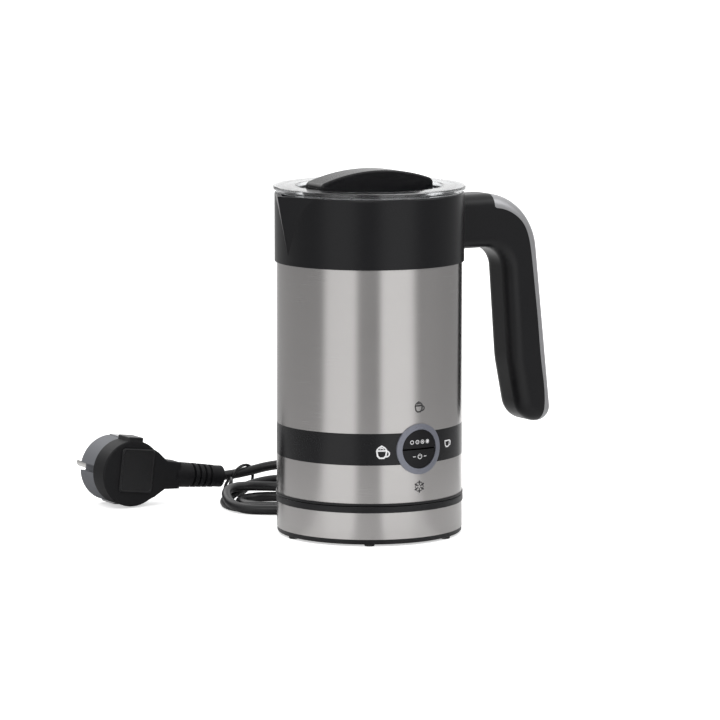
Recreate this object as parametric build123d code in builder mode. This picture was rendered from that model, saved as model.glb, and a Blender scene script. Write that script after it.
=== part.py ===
from build123d import *
import math
import os

# Milk frother: a steel jug with a magnet-driven whisk on a round power base. Millimetres, +Z up.
# The origin is on the jug's axis at the surface the base stands on. The handle points to +X,
# the pouring spout to -X and the two push buttons to -Y. The cord leaves the back of the base.

os.makedirs("parts", exist_ok=True)

# Driving dimensions
BODY_R = 50.0          # outside of the brushed steel sleeves
SHEET = 0.6            # thickness of the sleeves
RIM_R = 50.5           # the black rims on both sides of the parting line
COLLAR_R = 51.0        # the black collar under the lid
FIT = 0.1              # gap between parts that are pushed together
FREE = 0.3             # gap between round parts that turn or lift
FOOT_H = 1.1           # how far the rubber feet hold the base up
BASE_STEEL = (3.75, 18.1)
BASE_TOP = 21.5
JUG_FLOOR = 21.7
LOWER_STEEL = (23.1, 43.6)
UPPER_STEEL = (60.6, 147.6)
COLLAR_TOP = 184.8
BUTTON_Z = 51.5
BEZEL_R = 13.5
BEZEL_HOLE_R = 10.5
BEZEL_FACE_R = 50.9    # the bezel follows the body, a little proud of it
POT_R = 43.0           # inside of the milk pot
POT_WALL = 0.8
POT_FLOOR = 71.8
POT_RIM = 170.2
LID_R = 51.7
LID_TOP = 188.1
WELL_R = 39.5
WELL_FLOOR = 184.6
GRIP_HALF = 35.4
GRIP_TOP = 196.5
HANDLE_W = 24.0
CORD_D = 5.4
CORD_ANGLE = 28.0      # where the cord leaves the base, from +X towards +Y
CORD_Z = 10.0
INNER_R = BODY_R - SHEET


def write(name, part):
    """Label a finished piece and write it under its own name."""
    part.label = name
    export_step(part, "parts/" + name + ".step")


def ring_at(z, outer, inner, height, mode=Mode.ADD):
    """A plain upright ring or disc, in the builder that is open."""
    with BuildSketch(Plane.XY.offset(z)) as ring:
        Circle(outer)
        if inner > 0:
            Circle(inner, mode=Mode.SUBTRACT)
    extrude(ring.sketch, amount=height, mode=mode)


def posts_at(z, radius, count, start, post_r, height, mode=Mode.ADD):
    """Upright round posts or holes round the axis, in the builder that is open."""
    with BuildSketch(Plane.XY.offset(z)) as posts:
        with PolarLocations(radius, count, start_angle=start):
            Circle(post_r)
    extrude(posts.sketch, amount=height, mode=mode)


exit_dir = (math.cos(math.radians(CORD_ANGLE)), math.sin(math.radians(CORD_ANGLE)), 0)
exit_axis = Plane(origin=(0, 0, CORD_Z), z_dir=exit_dir)
front_axis = Plane(origin=(0, 0, BUTTON_Z), x_dir=(1, 0, 0), z_dir=(0, -1, 0))

# ---------------------------------------------------------------- base
FEET_R = 46.7
FEET_START = -2.0
BASE_SCREWS = (36.0, 3, 88.0)
GLAND_NECK_R = 4.5

# Bottom cover with a visible trim edge, foot pockets and three screw bosses.
with BuildPart() as base_bottom:
    ring_at(FOOT_H, BODY_R - 0.2, 0, 2.0)
    fillet(base_bottom.edges().group_by(Axis.Z)[0], 0.8)
    ring_at(3.0, BODY_R - 0.2, INNER_R - 2.1, BASE_STEEL[0] - 3.0)
    ring_at(BASE_STEEL[0], INNER_R - FIT, INNER_R - 2.1, 5.0)
    posts_at(3.0, *BASE_SCREWS, 4.2, 8.9)
    ring_at(3.0, 14.0, 12.5, 4.0)
    posts_at(FOOT_H, FEET_R, 6, FEET_START, 2.8, 1.5, Mode.SUBTRACT)
    posts_at(FOOT_H, *BASE_SCREWS, 3.0, 2.9, Mode.SUBTRACT)
    posts_at(FOOT_H, *BASE_SCREWS, 1.5, 12.0, Mode.SUBTRACT)
    with BuildSketch(exit_axis.offset(44)):
        Circle(6.4)
    extrude(amount=5.6, mode=Mode.SUBTRACT)
write("base_bottom", base_bottom.part)

# Six rubber feet, pushed into their pockets.
with BuildPart() as base_feet:
    with BuildSketch(Plane.XY):
        with PolarLocations(FEET_R, 6, start_angle=FEET_START):
            Circle(2.75)
    extrude(amount=2.5)
    fillet(base_feet.edges().group_by(Axis.Z)[0], 0.5)
write("base_feet", base_feet.part)

# Steel sleeve of the base, with the hole for the cord's strain relief.
with BuildPart() as base_sleeve:
    ring_at(BASE_STEEL[0], BODY_R, INNER_R, BASE_STEEL[1] - BASE_STEEL[0])
    with BuildSketch(exit_axis.offset(40)):
        Circle(GLAND_NECK_R + FIT)
    extrude(amount=15, mode=Mode.SUBTRACT)
write("base_sleeve", base_sleeve.part)

# Top cover with its rim, a low hub round the connector and bosses for the screws.
HUB_R = 14.0
HUB_TOP = 23.6
with BuildPart() as base_top:
    ring_at(BASE_STEEL[1], RIM_R, INNER_R - 1.6, BASE_TOP - BASE_STEEL[1])
    ring_at(19.5, RIM_R - 1, 0, BASE_TOP - 19.5)
    fillet(base_top.edges().group_by(Axis.Z)[-1], 0.6)
    ring_at(13.0, INNER_R - FIT, INNER_R - 1.6, BASE_STEEL[1] - 13.0)
    ring_at(19.5, HUB_R, 0, HUB_TOP - 19.5)
    fillet(base_top.edges().group_by(Axis.Z)[-1], 0.6)
    posts_at(12.0, *BASE_SCREWS, 3.4, 7.6)
    ring_at(19.0, 12.0, 0, 6.0, Mode.SUBTRACT)
    posts_at(12.0, *BASE_SCREWS, 1.25, 6.0, Mode.SUBTRACT)
    with BuildSketch(exit_axis.offset(44)):
        Circle(6.4)
    extrude(amount=5.6, mode=Mode.SUBTRACT)
write("base_top", base_top.part)

# Three screws hold the two covers together.
with BuildPart() as base_screws:
    posts_at(2.2, *BASE_SCREWS, 2.7, 1.7)
    posts_at(3.9, *BASE_SCREWS, 1.2, 13.0)
    with BuildSketch(Plane.XY.offset(2.2)):
        with PolarLocations(BASE_SCREWS[0], BASE_SCREWS[1], start_angle=BASE_SCREWS[2]):
            Rectangle(3.2, 0.7)
            Rectangle(0.7, 3.2)
    extrude(amount=0.9, mode=Mode.SUBTRACT)
write("base_screws", base_screws.part)

# Round connector that the jug can be set on at any angle: a centre hole and two ring slots.
BOSS_R = 11.5
BOSS_TOP = 30.0
PIN_HOLE_R = 2.2
SLOT_A = (5.0, 6.6)
SLOT_B = (8.4, 9.8)
with BuildPart() as base_connector:
    ring_at(7.1, BOSS_R, 0, BOSS_TOP - 7.1)
    fillet(base_connector.edges().group_by(Axis.Z)[-1], 0.8)
    ring_at(16.0, 15.0, 0, 3.4)
    ring_at(12.0, PIN_HOLE_R, 0, 20.0, Mode.SUBTRACT)
    for inner, outer in (SLOT_A, SLOT_B):
        with BuildSketch(Plane.XY.offset(12.0)):
            Circle(outer)
            Circle(inner, mode=Mode.SUBTRACT)
        extrude(amount=20, mode=Mode.SUBTRACT)
write("base_connector", base_connector.part)

# Spring contacts standing in the connector's hole and slots.
with BuildPart() as base_contacts:
    ring_at(12.0, 1.9, 1.4, 12.0)
    ring_at(12.0, SLOT_A[0] + 0.3, SLOT_A[0] + 0.05, 12.0)
    ring_at(12.0, SLOT_B[0] + 0.3, SLOT_B[0] + 0.05, 12.0)
write("base_contacts", base_contacts.part)

# Cord clamp inside the base: a saddle over the cord and its two screws.
clamp_plane = Plane(origin=(37 * exit_dir[0], 37 * exit_dir[1], 3.2), x_dir=exit_dir, z_dir=(0, 0, 1))
CLAMP_SCREWS = [(0, 6.4), (0, -6.4)]
with BuildPart() as cord_clamp:
    with BuildSketch(clamp_plane):
        Rectangle(7, 18)
        with Locations(*CLAMP_SCREWS):
            Circle(1.3, mode=Mode.SUBTRACT)
    extrude(amount=5)
write("cord_clamp", cord_clamp.part)

with BuildPart() as clamp_screws:
    with BuildSketch(clamp_plane.offset(5.1)):
        with Locations(*CLAMP_SCREWS):
            Circle(2.2)
    extrude(amount=1.4)
    with BuildSketch(clamp_plane.offset(0.2)):
        with Locations(*CLAMP_SCREWS):
            Circle(1.2)
    extrude(amount=5)
write("clamp_screws", clamp_screws.part)

# Strain relief: a flange inside, a neck through the sleeve and a ribbed taper outside.
GLAND_END = 70.0
gland_profile = [(0, 45.6), (5.6, 45.6), (5.6, 48.8), (GLAND_NECK_R, 48.8), (GLAND_NECK_R, 50.35)]
gland_profile += [(5.4, 50.35), (5.4, 52.0), (4.4, 52.6)]
for rib in range(4):
    start = 54.0 + 3.6 * rib
    high = 4.4 - 0.25 * rib
    gland_profile += [(high, start), (high - 0.7, start + 0.4)]
    gland_profile += [(high - 0.7, start + 1.4), (high, start + 1.8)]
gland_profile += [(3.5, GLAND_END), (0, GLAND_END)]
across = (-math.sin(math.radians(CORD_ANGLE)), math.cos(math.radians(CORD_ANGLE)), 0)
gland_plane = Plane(origin=(0, 0, CORD_Z), x_dir=across, z_dir=(0, 0, -1))
with BuildPart() as cord_gland:
    with BuildSketch(gland_plane):
        with BuildLine():
            Polyline(*gland_profile, close=True)
        make_face()
    revolve(axis=Axis((0, 0, CORD_Z), exit_dir))
write("cord_gland", cord_gland.part)

# ---------------------------------------------------------------- cord, tie and plug
# The cord and plug lie behind the base, on a frame turned about the axis.
LAY_TURN = -32.0
lay = Plane(
    origin=(0, 0, 0),
    x_dir=(math.cos(math.radians(LAY_TURN)), math.sin(math.radians(LAY_TURN)), 0),
    z_dir=(0, 0, 1),
)


def bend_radii(points):
    """The largest arc that each corner's two runs allow."""
    radii = []
    for before, here, after in zip(points, points[1:], points[2:]):
        into = Vector(*here) - Vector(*before)
        out = Vector(*after) - Vector(*here)
        half_turn = math.radians(into.get_angle(out)) / 2
        radii.append(0.45 * min(into.length, out.length) / math.tan(half_turn))
    return radii


def cord_tube(name, points):
    """A tube along straight runs joined by tangent arcs; its radii and volume are printed."""
    radii = bend_radii(points)
    with BuildPart() as tube:
        with BuildLine(lay) as route:
            FilletPolyline(*points, radius=radii)
        path = route.wire()
        with BuildSketch(Plane(origin=path @ 0, z_dir=path % 0)):
            Circle(CORD_D / 2)
        sweep(path=path)
    expected = math.pi * (CORD_D / 2) ** 2 * path.length
    print(name, "radii", [round(r) for r in radii], "length", round(path.length, 1))
    print(name, "volume over section times length", round(tube.part.volume / expected, 4))
    write(name, tube.part)


turned = math.radians(CORD_ANGLE - LAY_TURN)
gland_tip = (GLAND_END * math.cos(turned), GLAND_END * math.sin(turned), CORD_Z)
base_route = [
    gland_tip,
    (46, 79.5, 8),
    (42, 102, 4.5),
    (24, 116, 2.8),
    (-4, 119.5, 4),
    (-30, 114.5, 8),
    (-52, 111, 10),
    (-68, 100, 7.5),
]
cord_tube("cord_run_base", base_route)

# Plug frame: its own x along the lead, y along the pins, z up; it stands on its rim and rolls a little.
PLUG_R = 18.5
PLUG_BARREL = 15.6
PLUG_BACK = 13.0
RELIEF_END = 58.5
PLUG_TILT = math.radians(6.7)
PLUG_TURN = math.radians(30.0)
plug_x = (
    math.cos(PLUG_TILT) * math.cos(PLUG_TURN + math.radians(LAY_TURN)),
    math.cos(PLUG_TILT) * math.sin(PLUG_TURN + math.radians(LAY_TURN)),
    -math.sin(PLUG_TILT),
)
plug_up = (
    math.sin(PLUG_TILT) * math.cos(PLUG_TURN + math.radians(LAY_TURN)),
    math.sin(PLUG_TILT) * math.sin(PLUG_TURN + math.radians(LAY_TURN)),
    math.cos(PLUG_TILT),
)
plug_seat = lay.from_local_coords(Vector(-137.6, 85.3, 19.4))
plug = Plane(origin=plug_seat, x_dir=plug_x, z_dir=plug_up)
plug_face = Plane(origin=plug_seat, x_dir=plug_x, z_dir=-plug.y_dir)
lead_mid = plug.from_local_coords(Vector(0, -PLUG_BACK / 2, 0))
lead_plane = Plane(origin=lead_mid, x_dir=plug.y_dir, z_dir=plug_x)

relief_tip = lay.to_local_coords(plug.from_local_coords(Vector(RELIEF_END, -PLUG_BACK / 2, 0)))
plug_route = [
    (-2, 92, 8.1),
    (-20, 106, 13.5),
    (-38, 118, 18),
    (-55, 121.5, 17),
    (-70, 117, 13.6),
    (relief_tip.X, relief_tip.Y, relief_tip.Z),
]
cord_tube("cord_run_plug", plug_route)

# The folded hank: one plain solid of its outer shape, clear of the base.
with BuildPart() as cord_hank:
    with BuildSketch(lay):
        with Locations((-38, 76)):
            SlotOverall(92, 56)
        Circle(52.0, mode=Mode.SUBTRACT)
    extrude(amount=11)
    fillet(cord_hank.edges().group_by(Axis.Z)[-1], 2.0)
write("cord_hank", cord_hank.part)

# A thin tie round the plug lead and the strands below it.
tie_plane = Plane(origin=lay.from_local_coords(Vector(-74, 106, 8.6)), x_dir=lay.y_dir, z_dir=lay.x_dir)
with BuildPart() as cord_tie:
    with BuildSketch(tie_plane):
        SlotOverall(28, 14)
        SlotOverall(25.6, 11.6, mode=Mode.SUBTRACT)
    extrude(amount=1.3, both=True)
write("cord_tie", cord_tie.part)

# Plug body: round barrel with side grooves, an angled back and a ribbed relief.
with BuildPart() as plug_body:
    with BuildSketch(plug_face.offset(-PLUG_BARREL)):
        Circle(PLUG_R)
    extrude(amount=PLUG_BARREL)
    with BuildSketch(plug_face):
        Circle(PLUG_R)
        with BuildLine():
            Polyline(
                (6, 17.2), (15, 12.6), (21, 8.0), (30, 7.4),
                (30, -7.4), (21, -8.0), (15, -12.6), (6, -17.2),
                close=True,
            )
        make_face()
    extrude(amount=PLUG_BACK)
    fillet(plug_body.faces().sort_by(Axis(plug_seat, tuple(plug_face.z_dir)))[-1].edges(), 1.0)
    with BuildSketch(lead_plane.offset(28)):
        Circle(7.2)
    with BuildSketch(lead_plane.offset(38.5)):
        Circle(6.9)
    loft()
    for rib in range(4):
        with BuildSketch(lead_plane.offset(38.5 + 3.6 * rib)):
            Circle(5.2)
        extrude(amount=1.5)
        with BuildSketch(lead_plane.offset(40.0 + 3.6 * rib)):
            Circle(6.8 - 0.15 * rib)
        extrude(amount=2.1)
    with BuildSketch(lead_plane.offset(52.9)):
        Circle(6.1)
    extrude(amount=RELIEF_END - 52.9)
    with BuildSketch(plug_face.offset(-PLUG_BARREL)):
        with Locations((-PLUG_R, 0), (PLUG_R, 0)):
            Rectangle(6.4, 4.2)
        with Locations((0, -PLUG_R), (0, PLUG_R)):
            Rectangle(5.4, 2.4)
    extrude(amount=PLUG_BARREL, mode=Mode.SUBTRACT)
    with BuildSketch(plug_face.offset(-PLUG_BARREL)):
        with Locations((-9.5, 0), (9.5, 0)):
            Circle(2.5)
    extrude(amount=10, mode=Mode.SUBTRACT)
write("plug_body", plug_body.part)

# Two round pins, moulded into the barrel.
with BuildPart() as plug_pins:
    with BuildSketch(plug_face.offset(-PLUG_BARREL - 19)):
        with Locations((-9.5, 0), (9.5, 0)):
            Circle(2.4)
    extrude(amount=28.5)
    fillet(plug_pins.edges().sort_by(Axis(plug_seat, tuple(plug_face.z_dir)))[:2], 1.2)
write("plug_pins", plug_pins.part)

# Two earth clips on the top and bottom of the barrel.
with BuildPart() as plug_clips:
    with BuildSketch(plug_face.offset(-PLUG_BARREL + 0.5)):
        with Locations((0, PLUG_R - 0.4), (0, -PLUG_R + 0.4)):
            Rectangle(5.0, 1.5)
    extrude(amount=PLUG_BARREL - 1.0)
write("plug_clips", plug_clips.part)

# ---------------------------------------------------------------- jug, lower part
JUG_SCREWS = (40.0, 3, 90.0)
SOCKET_R = 16.5
RETAINER_Z = 37.2

# Bottom cover of the jug: rim, skirt inside the sleeve, turret for the connector socket.
with BuildPart() as jug_bottom:
    ring_at(JUG_FLOOR, RIM_R, 0, LOWER_STEEL[0] - 0.05 - JUG_FLOOR)
    fillet(jug_bottom.edges().group_by(Axis.Z)[0], 0.5)
    ring_at(LOWER_STEEL[0] - 0.05, INNER_R - FIT, 0, 0.95)
    ring_at(24.0, INNER_R - FIT, INNER_R - 1.7, 7.0)
    ring_at(24.0, 19.0, SOCKET_R + FREE, RETAINER_Z - 24.0)
    posts_at(24.0, *JUG_SCREWS, 3.8, 11.9)
    ring_at(JUG_FLOOR, HUB_R + 0.6, 0, 3.0, Mode.SUBTRACT)
    posts_at(JUG_FLOOR, *JUG_SCREWS, 3.0, 2.6, Mode.SUBTRACT)
    posts_at(JUG_FLOOR, *JUG_SCREWS, 1.4, 15.0, Mode.SUBTRACT)
write("jug_bottom", jug_bottom.part)

# Three screws up into the lugs of the control band.
with BuildPart() as jug_screws:
    posts_at(22.4, *JUG_SCREWS, 2.7, 1.8)
    posts_at(24.2, *JUG_SCREWS, 1.2, 15.0)
    with BuildSketch(Plane.XY.offset(22.4)):
        with PolarLocations(JUG_SCREWS[0], JUG_SCREWS[1], start_angle=JUG_SCREWS[2]):
            Rectangle(3.2, 0.7)
            Rectangle(0.7, 3.2)
    extrude(amount=0.9, mode=Mode.SUBTRACT)
write("jug_screws", jug_screws.part)

# Connector socket: it stays square to the base while the jug turns round it.
with BuildPart() as jug_socket:
    ring_at(24.3, SOCKET_R, BOSS_R + 0.6, 7.2)
    ring_at(31.5, SOCKET_R, 0, 5.2)
    ring_at(31.5, 1.0, 0, 3.5, Mode.SUBTRACT)
write("jug_socket", jug_socket.part)

# Its centre pin and two ring blades, which drop into the base connector.
with BuildPart() as socket_contacts:
    ring_at(25.0, 1.0, 0, 9.9)
    fillet(socket_contacts.edges().group_by(Axis.Z)[0], 0.6)
    for inner, outer in (SLOT_A, SLOT_B):
        ring_at(25.0, outer - 0.4, outer - 0.9, 6.5)
write("socket_contacts", socket_contacts.part)

# Ring that keeps the socket in its turret.
with BuildPart() as socket_retainer:
    ring_at(RETAINER_Z, 19.0, 8.0, 1.4)
write("socket_retainer", socket_retainer.part)

# Brushed steel sleeves below and above the control band, cut round the button bezel.
for name, (low, high) in (("lower_sleeve", LOWER_STEEL), ("upper_sleeve", UPPER_STEEL)):
    with BuildPart() as sleeve:
        ring_at(low, BODY_R, INNER_R, high - low)
        with BuildSketch(front_axis.offset(40)):
            Circle(BEZEL_R - 0.35)
        extrude(amount=15, mode=Mode.SUBTRACT)
    write(name, sleeve.part)

# Black control band between the sleeves, with lips inside them and lugs for the screws.
with BuildPart() as control_band:
    ring_at(LOWER_STEEL[1], BODY_R, 48.0, UPPER_STEEL[0] - LOWER_STEEL[1])
    ring_at(36.0, INNER_R - FIT, 48.0, 31.0)
    with BuildSketch(Plane.XY.offset(36.0)):
        with PolarLocations(JUG_SCREWS[0] + 2.1, JUG_SCREWS[1], start_angle=JUG_SCREWS[2]):
            Rectangle(12.2, 8)
    extrude(amount=4.5)
    posts_at(35.0, *JUG_SCREWS, 1.25, 5.0, Mode.SUBTRACT)
    with BuildSketch(front_axis.offset(40)):
        Circle(BEZEL_R - 0.35)
    extrude(amount=15, mode=Mode.SUBTRACT)
write("control_band", control_band.part)

# ---------------------------------------------------------------- buttons
BUTTON_FACE_R = 50.5
BUTTON_GAP = 0.4       # half of the gap between the two buttons
BUTTON_BACK = 46.2
SWITCH_FACE = 43.2


def face_follows_body(radius):
    """Trim the part that is open to a round face of the given radius."""
    with BuildSketch(Plane.XY.offset(BUTTON_Z - 20)) as trim:
        Circle(radius)
    extrude(trim.sketch, amount=40, mode=Mode.INTERSECT)


# Bezel: a ring that follows the round body, with a sleeve that guides the buttons.
with BuildPart() as button_bezel:
    with BuildSketch(front_axis.offset(44)):
        Circle(BEZEL_R)
        Circle(BEZEL_HOLE_R + 1.0, mode=Mode.SUBTRACT)
    extrude(amount=12)
    ring_at(BUTTON_Z - 20, BODY_R + 0.05, 0, 40, Mode.SUBTRACT)
    with BuildSketch(front_axis.offset(44)):
        Circle(BEZEL_R - 0.5)
        Circle(BEZEL_HOLE_R + 1.0, mode=Mode.SUBTRACT)
    extrude(amount=12)
    with BuildSketch(front_axis.offset(48.2)):
        Circle(BEZEL_R - 1)
        Circle(BEZEL_HOLE_R, mode=Mode.SUBTRACT)
    extrude(amount=6)
    face_follows_body(BEZEL_FACE_R)
write("button_bezel", button_bezel.part)

# Two half-round push buttons: a cap in the bezel, a collar behind it and a plunger.
for name, side in (("function_button", 1), ("power_button", -1)):
    with BuildPart() as button:
        with BuildSketch(front_axis.offset(BUTTON_BACK)):
            Circle(BEZEL_HOLE_R - 0.25)
            with Locations((0, -side * (15 - BUTTON_GAP))):
                Rectangle(30, 30, mode=Mode.SUBTRACT)
        extrude(amount=8)
        with BuildSketch(front_axis.offset(BUTTON_BACK)):
            Circle(BEZEL_HOLE_R + 0.7)
            with Locations((0, -side * (15 - BUTTON_GAP))):
                Rectangle(30, 30, mode=Mode.SUBTRACT)
        extrude(amount=1.6)
        face_follows_body(BUTTON_FACE_R)
        with BuildSketch(front_axis.offset(SWITCH_FACE + 1.0)):
            with Locations((0, side * 5)):
                Circle(1.6)
        extrude(amount=BUTTON_BACK - SWITCH_FACE - 1.0)
    write(name, button.part)

# Control board with its switches, indicator lamps and larger components.
BOARD_Y = 39.0
with BuildPart() as circuit_board:
    with BuildSketch(front_axis.offset(BOARD_Y)):
        Rectangle(44, 26)
    extrude(amount=1.6)
write("circuit_board", circuit_board.part)

with BuildPart() as push_switches:
    with BuildSketch(front_axis.offset(BOARD_Y + 1.6)):
        with Locations((0, 5), (0, -5)):
            Rectangle(6, 6)
    extrude(amount=1.6)
    with BuildSketch(front_axis.offset(BOARD_Y + 3.2)):
        with Locations((0, 5), (0, -5)):
            Circle(1.5)
    extrude(amount=SWITCH_FACE - BOARD_Y - 3.2)
write("push_switches", push_switches.part)

with BuildPart() as indicator_lamps:
    with BuildSketch(front_axis.offset(BOARD_Y + 1.6)):
        with Locations((18.5, 0), (-18.5, 0), (0, 11), (0, -11)):
            Circle(1.4)
    extrude(amount=2.4)
write("indicator_lamps", indicator_lamps.part)

with BuildPart() as board_components:
    with BuildSketch(front_axis.offset(BOARD_Y - 9)):
        with Locations((-12, -1)):
            Rectangle(12, 14)
    extrude(amount=9)
    with BuildSketch(front_axis.offset(BOARD_Y - 12)):
        with Locations((3, 0), (14, 2)):
            Circle(4.5)
    extrude(amount=12)
    with BuildSketch(front_axis.offset(BOARD_Y - 3)):
        with Locations((14, -7)):
            Rectangle(9, 5)
    extrude(amount=3)
write("board_components", board_components.part)

# ---------------------------------------------------------------- drive
MOTOR_R = 14.0
CARRIER_R = 19.0
CARRIER_Z = 63.0

# Motor can with its end cap, hung under the heater by a round bracket.
with BuildPart() as motor_can:
    ring_at(42.0, MOTOR_R, 0, 16.0)
    fillet(motor_can.edges().group_by(Axis.Z)[-1], 1.0)
    ring_at(42.0, MOTOR_R - 1.0, 0, 14.0, Mode.SUBTRACT)
    ring_at(56.0, 2.5, 0, 2.5, Mode.SUBTRACT)
write("motor_can", motor_can.part)

with BuildPart() as motor_end_cap:
    ring_at(40.4, MOTOR_R, 3.0, 1.6)
    ring_at(42.0, MOTOR_R - 1.1, MOTOR_R - 2.6, 2.0)
write("motor_end_cap", motor_end_cap.part)

with BuildPart() as motor_bearings:
    ring_at(40.6, 2.9, 1.55, 2.4)
    ring_at(56.0, 2.45, 1.55, 2.4)
write("motor_bearings", motor_bearings.part)

with BuildPart() as motor_bracket:
    ring_at(58.5, 34.0, 6.0, 1.4)
    posts_at(58.5, 33.0, 3, 90.0, 3.0, 1.4)
    posts_at(59.9, 31.0, 3, 90.0, 2.6, 8.2)
    posts_at(58.5, 23.0, 6, 30.0, 3.2, 1.4, Mode.SUBTRACT)
write("motor_bracket", motor_bracket.part)

# Rotor: shaft with its winding, magnet carrier and four magnets under the pot floor.
with BuildPart() as rotor_shaft:
    ring_at(40.8, 1.5, 0, 25.0)
    ring_at(45.0, 10.5, 0, 9.0)
write("rotor_shaft", rotor_shaft.part)

MAGNET_PLACES = (12.0, 4, 45.0)
with BuildPart() as magnet_carrier:
    ring_at(CARRIER_Z, CARRIER_R, 0, 5.6)
    fillet(magnet_carrier.edges().group_by(Axis.Z)[0], 1.0)
    ring_at(61.0, 4.0, 0, 2.0)
    ring_at(61.0, 1.5, 0, 4.8, Mode.SUBTRACT)
    posts_at(CARRIER_Z + 2.0, *MAGNET_PLACES, 4.1, 4.0, Mode.SUBTRACT)
write("magnet_carrier", magnet_carrier.part)

with BuildPart() as drive_magnets:
    posts_at(CARRIER_Z + 2.0, *MAGNET_PLACES, 4.0, 3.6)
write("drive_magnets", drive_magnets.part)

# ---------------------------------------------------------------- pot and heater
POT_BOTTOM = POT_FLOOR - POT_WALL
CORNER_R = 6.0
with BuildPart() as milk_pot:
    with BuildSketch(Plane.XZ):
        with BuildLine():
            Polyline(
                (0, POT_BOTTOM),
                (POT_R + POT_WALL, POT_BOTTOM),
                (POT_R + POT_WALL, POT_RIM - POT_WALL),
                (POT_R + 3.8, POT_RIM - POT_WALL),
                (POT_R + 3.8, POT_RIM),
                (POT_R, POT_RIM),
                (POT_R, POT_FLOOR),
                (0, POT_FLOOR),
                close=True,
            )
        make_face()
    revolve(axis=Axis.Z)
    outer_edge = milk_pot.edges().group_by(Axis.Z)[0]
    fillet(outer_edge, CORNER_R + POT_WALL)
    inner_edge = milk_pot.edges().filter_by(GeomType.CIRCLE).filter_by(
        lambda e: abs(e.radius - POT_R) < 0.01 and e.center().Z < POT_FLOOR + 1
    )
    fillet(inner_edge, CORNER_R)
    fillet(milk_pot.edges().group_by(Axis.Z)[-1].sort_by(SortBy.RADIUS)[0], 0.7)
write("milk_pot", milk_pot.part)

with BuildPart() as whisk_axle:
    ring_at(POT_FLOOR, 1.5, 0, 10.0)
    fillet(whisk_axle.edges().group_by(Axis.Z)[-1], 0.8)
    ring_at(POT_FLOOR, 3.2, 0, 0.9)
write("whisk_axle", whisk_axle.part)

# Ring heater pressed on the underside of the pot, with its sensor and fuse.
with BuildPart() as heater_ring:
    ring_at(68.2, 37.0, 21.5, POT_BOTTOM - 68.2)
    with BuildSketch(Plane.XY.offset(66.6)):
        Circle(34.5)
        Circle(30.5, mode=Mode.SUBTRACT)
        with Locations((0, -32.5)):
            Rectangle(16, 10, mode=Mode.SUBTRACT)
        with PolarLocations(31.0, 3, start_angle=90.0):
            Circle(3.2, mode=Mode.SUBTRACT)
    extrude(amount=1.6)
write("heater_ring", heater_ring.part)

with BuildPart() as temperature_sensor:
    with BuildSketch(Plane.XY.offset(61.0)):
        with Locations((25.5, 0)):
            Circle(3.0)
    extrude(amount=7.2)
write("temperature_sensor", temperature_sensor.part)

with BuildPart() as thermal_fuse:
    with BuildSketch(Plane(origin=(-26, -5.5, 65.9), x_dir=(1, 0, 0), z_dir=(0, 1, 0))):
        Circle(2.2)
    extrude(amount=11)
write("thermal_fuse", thermal_fuse.part)

# ---------------------------------------------------------------- collar
LEDGE = (171.7, 173.7)
SPOUT_LOW = 152.0
SPOUT_R = 57.6


def spout_wedge(tip, body, low, high):
    """The beak: from a point low on the collar to a sharp V at its top."""
    reach = math.acos(body / tip)
    side = (-body * math.cos(reach), body * math.sin(reach))
    with BuildSketch(Plane.XY.offset(high)) as top:
        with BuildLine():
            Polyline((-tip, 0), side, (-body + 8, 0), (side[0], -side[1]), close=True)
        make_face()
    point = Vertex(-body + 0.1, 0, low)
    return Solid.make_loft([top.sketch.face().outer_wire(), point])


# Collar: the wall, the lip inside the sleeve, a ledge over the pot rim and the pouring spout.
with BuildPart() as collar:
    ring_at(UPPER_STEEL[1] + 0.05, COLLAR_R, 47.6, COLLAR_TOP - UPPER_STEEL[1] - 0.05)
    fillet(collar.edges().group_by(Axis.Z)[-1].sort_by(SortBy.RADIUS)[-1], 1.2)
    ring_at(140.0, INNER_R - FIT, 47.6, 8.0)
    ring_at(LEDGE[0], 48.0, 44.0, LEDGE[1] - LEDGE[0])
    add(spout_wedge(SPOUT_R, COLLAR_R, SPOUT_LOW, COLLAR_TOP))
    ring_at(LEDGE[0], 44.0, 0, 20.0, Mode.SUBTRACT)
    ring_at(LEDGE[1], 48.3, 0, 20.0, Mode.SUBTRACT)
    ring_at(140.0, 47.6, 0, LEDGE[0] - 140.0, Mode.SUBTRACT)
    add(spout_wedge(SPOUT_R - 2.6, 48.0, SPOUT_LOW + 22, COLLAR_TOP + 0.01), mode=Mode.SUBTRACT)
    with BuildSketch(Plane(origin=(0, 0, 160), x_dir=(0, 1, 0), z_dir=(1, 0, 0))):
        with Locations((6, 0), (-6, 0)):
            Circle(1.5)
    extrude(amount=60, mode=Mode.SUBTRACT)
write("collar", collar.part)

# Ring that clamps the pot rim up against its seal, and its screws.
with BuildPart() as pot_seal:
    ring_at(POT_RIM, 46.6, 44.2, LEDGE[0] - POT_RIM)
write("pot_seal", pot_seal.part)

with BuildPart() as pot_retainer:
    ring_at(165.4, 47.4, 44.1, 4.0)
write("pot_retainer", pot_retainer.part)

# ---------------------------------------------------------------- handle
ARM_LOW = 150.8
ARM_TOP = 180.3
HANDLE_ROUND = 7.0
# Corners of the outline, each with the radius it is rounded to.
handle_corners = [
    (99.6, ARM_TOP, 34.0),
    (113.4, 52.8, 8.0),
    (92.5, 53.4, 14.0),
    (85.5, 88.0, 60.0),
    (80.8, ARM_LOW, 13.0),
]
seam_points = [
    (74.2, 172.6),
    (84.0, 169.6),
    (92.0, 162.8),
    (96.4, 150.0),
    (99.0, 130.7),
    (101.7, 107.7),
    (104.0, 85.5),
    (106.3, 66.0),
    (105.4, 57.5),
    (102.4, 50.0),
]
side_plane = Plane(origin=(0, 0, 0), x_dir=(1, 0, 0), z_dir=(0, -1, 0))


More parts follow.
